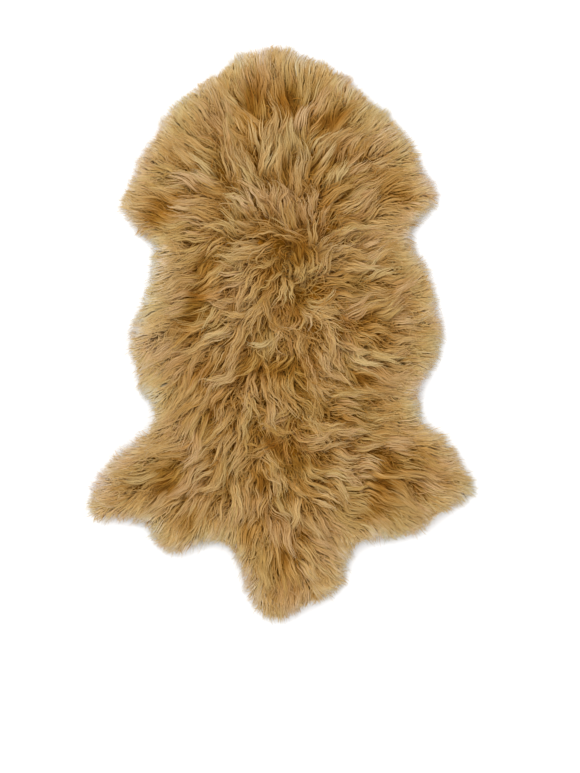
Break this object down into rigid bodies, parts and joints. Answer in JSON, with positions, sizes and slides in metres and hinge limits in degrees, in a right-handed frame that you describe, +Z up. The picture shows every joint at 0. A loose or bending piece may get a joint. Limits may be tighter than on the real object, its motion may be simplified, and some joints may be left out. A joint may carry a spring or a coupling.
{
  "type": "sheepskin rug",
  "caption": "Whole sheepskin with long, wavy camel wool, lying flat with the wool up: round neck end, short forelegs, spread hind legs and a tongue-shaped tail.",
  "frame": {"origin": "on the floor, under the middle of the outline: half way along and half way across", "axes": "+Z up out of the wool, +Y towards the neck end, -Y towards the tail, +X to the right as seen from above with the neck end away"},
  "size_m": [0.6362, 0.95, 0.0513],
  "materials": {
    "wool": "long, soft, wavy wool, matt with a faint sheen"
  },
  "bodies": {
    "root": {"sheepskin": "wool"}
  },
  "joints": []
}
